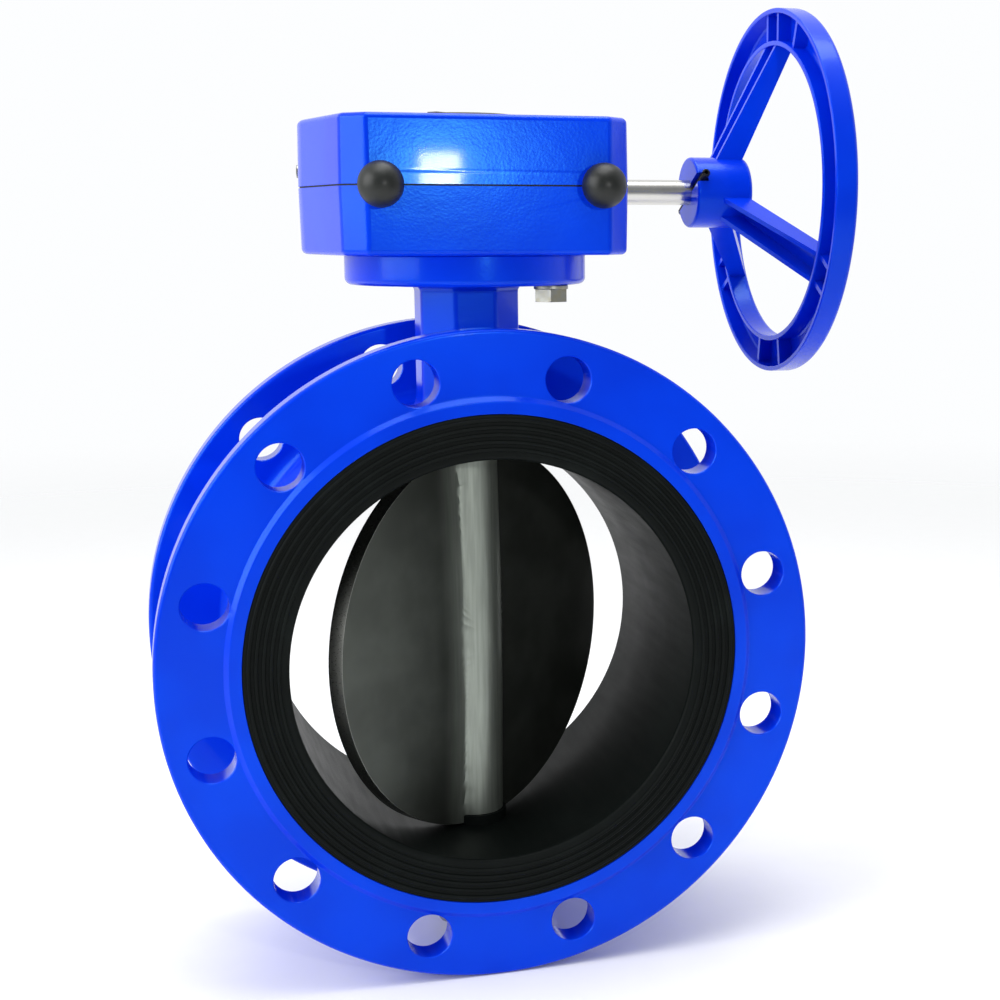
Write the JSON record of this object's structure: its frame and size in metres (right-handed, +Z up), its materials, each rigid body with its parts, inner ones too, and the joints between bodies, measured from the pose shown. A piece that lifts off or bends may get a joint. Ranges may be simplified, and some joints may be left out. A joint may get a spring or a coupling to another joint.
{
  "type": "butterfly valve",
  "caption": "Double-flanged butterfly valve, rubber lined, with a worm gear operator on top and a spoked handwheel at its side.",
  "frame": {"origin": "centre of the inlet flange's raised sealing face, 3 mm ahead of the plane that its bolt holes start on", "axes": "+Y down the pipe from inlet to outlet, +Z up the stem to the gearbox, +X to the handwheel"},
  "size_m": [0.4515, 0.3141, 0.6125],
  "materials": {
    "blue_paint": "glossy enamel with light orange peel on a cast surface",
    "liner_rubber": "moulded rubber, satin",
    "seal_rubber": "moulded rubber, satin",
    "cap_rubber": "moulded rubber, soft sheen",
    "disc_metal": "cast, coated grey, turned rim",
    "stem_steel": "ground",
    "shaft_steel": "polished",
    "bearing_steel": "ground",
    "zinc_steel": "zinc plated",
    "spring_steel": "black oxide",
    "bronze": "turned",
    "gear_iron": "machined",
    "gasket_fibre": "fibre sheet",
    "indicator_plastic": "moulded, satin"
  },
  "bodies": {
    "root": {"valve_body": "blue_paint", "rubber_liner": "liner_rubber", "upper_stem_bush": "bronze", "lower_stem_bush": "bronze", "stem_o_rings": "seal_rubber", "thrust_washer": "bronze", "bottom_plug": "zinc_steel", "bottom_plug_gasket": "gasket_fibre", "gearbox_lower_housing": "blue_paint", "gearbox_gasket": "gasket_fibre", "gearbox_cover": "blue_paint", "cover_screws": "zinc_steel", "mount_hex_bolt": "zinc_steel", "mount_bolt_washer": "zinc_steel", "mount_socket_screws": "zinc_steel", "quadrant_bushes": "bronze", "bearing_outer_rings": "bearing_steel", "shaft_seal": "seal_rubber", "worm_end_cover": "blue_paint", "end_cover_screws": "zinc_steel", "stop_screws": "zinc_steel", "stop_lock_nuts": "zinc_steel", "stop_screw_caps": "cap_rubber"},
    "disc_assembly": {"valve_disc": "disc_metal", "upper_stem": "stem_steel", "lower_stem": "stem_steel", "stem_circlip": "spring_steel", "quadrant_gear": "gear_iron", "stem_key": "stem_steel", "position_indicator": "indicator_plastic", "indicator_screws": "zinc_steel"},
    "worm_assembly": {"worm_shaft": "shaft_steel", "bearing_inner_rings": "bearing_steel", "bearing_balls": "bearing_steel", "handwheel": "blue_paint", "handwheel_pin": "spring_steel", "handwheel_circlip": "spring_steel"}
  },
  "joints": [
    {"name": "stem_turn", "type": "hinge", "parent": "root", "child": "disc_assembly", "pos_m": [0, 0.0825, 0], "axis": [0, 0, 1], "range_deg": [-38, 52]},
    {"name": "handwheel_turn", "type": "hinge", "parent": "root", "child": "worm_assembly", "pos_m": [0, 0.1655, 0.285], "axis": [1, 0, 0], "range_deg": [-1444, 1976]}
  ],
  "couplings": [
    {"joint": "handwheel_turn", "follows": "stem_turn", "ratio": 38}
  ]
}
